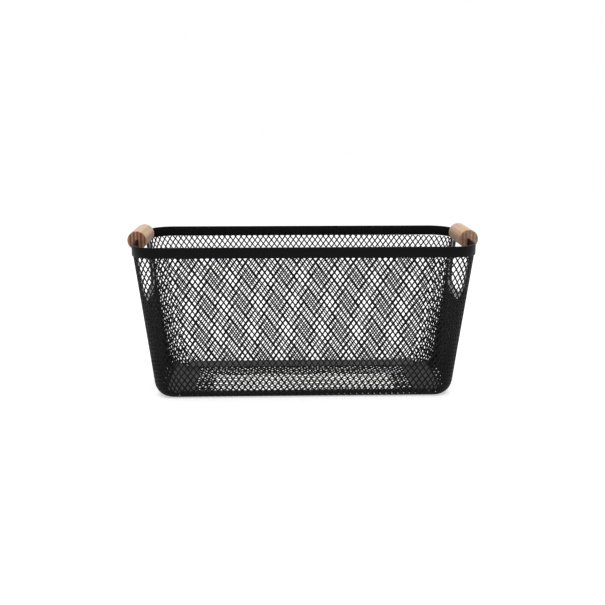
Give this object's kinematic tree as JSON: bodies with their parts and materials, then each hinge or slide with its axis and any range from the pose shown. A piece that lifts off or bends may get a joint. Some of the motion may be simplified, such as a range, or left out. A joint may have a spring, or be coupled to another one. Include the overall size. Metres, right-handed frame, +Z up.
{
  "type": "storage basket",
  "caption": "Tapered rectangular storage basket of black diamond steel mesh with a flat steel rim, lined hand holes in the short sides and slotted bamboo bar handles.",
  "frame": {"origin": "on the ground, under the middle of the basket", "axes": "+X along the long side towards the right handle, +Y from the front side to the back side, +Z up"},
  "size_m": [0.4206, 0.183, 0.198],
  "materials": {
    "rim": "satin black coating",
    "mesh": "satin black coating",
    "bamboo": "sanded laminated bamboo"
  },
  "bodies": {
    "root": {"rim_band": "rim", "front_mesh": "mesh", "back_mesh": "mesh", "left_mesh": "mesh", "right_mesh": "mesh", "front_left_corner_mesh": "mesh", "front_right_corner_mesh": "mesh", "back_left_corner_mesh": "mesh", "back_right_corner_mesh": "mesh", "floor_mesh": "mesh", "floor_frame": "rim", "left_hole_lining": "rim", "right_hole_lining": "rim", "left_handle": "bamboo", "right_handle": "bamboo"}
  },
  "joints": []
}
